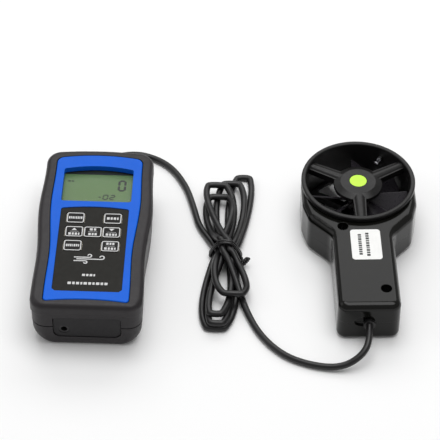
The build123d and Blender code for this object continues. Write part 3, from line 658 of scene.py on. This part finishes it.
def key_legend(key, x, y):
    """Outlines and lines of one key's legend, all plain shapes."""
    rule = [([(x - 2.6, y), (x + 2.6, y)], RULE_WIDTH)]
    if key == "key_function":
        return block_row(x, y, 7.6, 1.9, 8), []
    if key == "key_unit":
        return block_row(x, y, 6.6, 1.9, 4), []
    if key == "key_up":
        return [triangle(x, y + 1.9, 3.0, 1.9)] + block_row(x, y - 1.9, 6.2, 1.8, 4), rule
    if key == "key_down":
        return [triangle(x, y + 1.9, 3.0, -1.9)] + block_row(x, y - 1.9, 6.2, 1.8, 4), rule
    if key == "key_power":
        return block_row(x, y + 1.9, 3.6, 1.8, 2) + block_row(x, y - 1.9, 4.8, 1.8, 3), rule
    if key == "key_menu":
        return block_row(x, y + 1.9, 4.6, 1.8, 3) + block_row(x, y - 1.9, 6.4, 1.8, 4), rule
    return block_row(x, y, 7.4, 1.9, 7), []


def print_keys(ink):
    """Each key's outline and legend, which move with it."""
    for part in frame["record"]["subparts"]:
        if part["material_slot"] != "key_plastic":
            continue
        key = part["node"]
        low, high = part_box(key)
        x = ((low.x + high.x) / 2 - HANDSET_X) / MM
        y = ((low.y + high.y) / 2 - HANDSET_Y) / MM
        width, height = (high.x - low.x) / MM - KEY_INSET, (high.y - low.y) / MM - KEY_INSET
        edge = (rounded(x, y, width, height, KEY_CORNER),
                rounded(x, y, width - 2 * KEY_LINE, height - 2 * KEY_LINE, KEY_CORNER - KEY_LINE))
        outlines, lines = key_legend(key, x, y)
        printed(f"{key}_print", high.z, on_handset, f"{key}_body", ink, outlines, [edge], lines)


RUN_STEPS = 6
CURL_STEPS = 14
CURL_TURN = radians(270)
CURL_TIGHTENS = 0.35


def gust(x, y, length, curl, side):
    """One line of the wind sign: a straight run that ends in a curl to one side."""
    path = [(x + length * step / RUN_STEPS, y) for step in range(RUN_STEPS + 1)]
    for step in range(1, CURL_STEPS + 1):
        angle = step / CURL_STEPS * CURL_TURN
        reach = curl * (1 - CURL_TIGHTENS * step / CURL_STEPS)
        path.append((x + length + reach * sin(angle), y + side * (curl - reach * cos(angle))))
    return path


def print_panel(ink):
    """The wind sign and the two lines of print under the keys."""
    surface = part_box("keypad_overlay")[1].z
    wind = [gust(-9, -25.2, 8.6, 1.3, 1), gust(-7.5, -26.6, 14.0, 1.5, 1), gust(-9, -28.0, 6.5, 1.1, -1)]
    outlines = block_row(0.2, -39.0, 7.2, 1.7, 4) + block_row(0.1, -45.4, 22.0, 1.9, 10)
    printed("panel_print", surface, on_handset, INSTRUMENT, ink, outlines,
            lines=[(path, GUST_WIDTH) for path in wind])


# Which of a seven-segment figure's parts are dark: across the top, middle and
# bottom, then down the left and right, upper and lower.
FIGURES = {"0": "tbLlRr", "2": "tmbRl", "-": "m"}


SEGMENT_GAP = 0.12


def figure(kind, x, y, width, height, stem, slant=0.0):
    """Outlines of one seven-segment figure, with its low left corner at x, y."""
    half, half_stem = height / 2, stem / 2
    ends = {
        "t": ((0, height), (width, height)), "m": ((0, half), (width, half)), "b": ((0, 0), (width, 0)),
        "L": ((0, half), (0, height)), "l": ((0, 0), (0, half)),
        "R": ((width, half), (width, height)), "r": ((width, 0), (width, half)),
    }
    outlines = []
    for part in FIGURES[kind]:
        (start_x, start_y), (end_x, end_y) = ends[part]
        length = hypot(end_x - start_x, end_y - start_y)
        along = (end_x - start_x) / length, (end_y - start_y) / length
        profile = [(SEGMENT_GAP, 0), (half_stem, half_stem), (length - half_stem, half_stem),
                   (length - SEGMENT_GAP, 0), (length - half_stem, -half_stem), (half_stem, -half_stem)]
        points = [(start_x + along[0] * far - along[1] * aside, start_y + along[1] * far + along[0] * aside)
                  for far, aside in profile]
        outlines.append([(x + px + slant * py, y + py) for px, py in points])
    return outlines


def print_display(ink, shade_ink):
    """The figures shown, a small sign by them, and a dark band of painted shade over the top of the field, under
    the recess's top wall.
    """
    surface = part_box("display_panel")[1].z
    outlines = figure("0", 11.9, 33.2, 3.5, 8.0, 1.35, 0.02)
    for kind, x, width in (("-", 0.3, 1.9), ("0", 3.3, 2.5), ("2", 7.2, 2.5)):
        outlines += figure(kind, x, 25.6, width, 3.6, 0.8, 0.12)
    outlines += block_row(-16, 40.2, 3.4, 1.0, 2)
    printed("display_figures", surface, on_handset, INSTRUMENT, ink, outlines)
    # Painted shade: a dark band along the top of the display field, where the recess's top wall shades it.
    shade_band_outline = rounded(0, 47.5, 42.4, 3.0, 0.3)
    printed("display_painted_shade", surface, on_handset, INSTRUMENT, shade_ink, [shade_band_outline])


LABEL_CENTRE = (1.1, -50.6)


def print_label(ink):
    """Two lines of plain blocks along the label."""
    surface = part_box("probe_label")[1].z
    x, y = LABEL_CENTRE
    outlines = block_row(x - 3.4, y, 16.5, 1.9, 10, upright=True)
    outlines += block_row(x + 0.9, y, 18.5, 1.9, 10, upright=True)
    printed("probe_label_print", surface, on_probe, INSTRUMENT, ink, outlines)


def print_everything():
    """All the print, in white on the handset and dark on the display and the label, and a dark band of painted
    shade along the top of the display.
    """
    white = finish_of(
        "print_white", linear(205, 205, 205), 0.5, grain=0.3, depth=0.004, mottle=0.06, patch=3, wear=0)
    # Dark ink for the segments and the label, also used for the band of painted shade on the display.
    dark = finish_of(
        "dark_print_and_shade", linear(34, 38, 34), 0.4, grain=0.3, depth=0.002, mottle=0.08, patch=3, wear=0)
    print_keys(white)
    print_panel(white)
    print_display(dark, dark)
    print_label(dark)


add_camera()
add_stage()
finishes = {slot: make() for slot, make in FINISHES.items()}
dress_parts(finishes)
cord, tie = add_cord()
dress(cord, finishes["cord_black"])
dress(tie, finishes["tie_black"])
print_everything()
